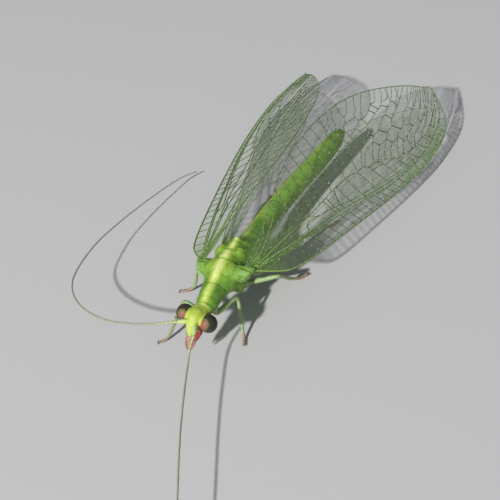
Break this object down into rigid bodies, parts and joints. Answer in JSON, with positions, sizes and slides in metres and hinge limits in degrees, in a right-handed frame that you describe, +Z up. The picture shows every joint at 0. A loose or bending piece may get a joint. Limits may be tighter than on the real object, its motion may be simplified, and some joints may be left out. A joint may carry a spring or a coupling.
{
  "type": "green lacewing",
  "caption": "Life-size still model of a green lacewing at rest: slim body, domed eyes, long feelers, roofwise veined wings.",
  "frame": {"origin": "middle of the bounding box on the floor that the feet stand on", "axes": "+Z up; +Y from the head towards the tail and the wing tips, the longest extent; +X the animal's left"},
  "size_m": [0.019, 0.0332, 0.0042],
  "materials": {
    "green": "satin",
    "yellow": "satin",
    "eye": "gloss",
    "red": "satin",
    "leg": "satin",
    "antenna": "satin",
    "wing": "satin"
  },
  "bodies": {
    "root": {"head": "yellow", "mouthparts": "red", "eye_left": "eye", "eye_right": "eye", "prothorax": "green", "mesothorax": "green", "metathorax": "green", "abdomen": "green", "foreleg_left": "leg", "foreleg_right": "leg", "midleg_left": "leg", "midleg_right": "leg", "hindleg_left": "leg", "hindleg_right": "leg", "antenna_left_scape": "antenna", "antenna_left_length_1": "antenna", "antenna_left_length_2": "antenna", "antenna_left_length_3": "antenna", "antenna_right_scape": "antenna", "antenna_right_length_1": "antenna", "antenna_right_length_2": "antenna", "antenna_right_length_3": "antenna", "forewing_left": "wing", "hindwing_left": "wing", "forewing_right": "wing", "hindwing_right": "wing"}
  },
  "joints": []
}
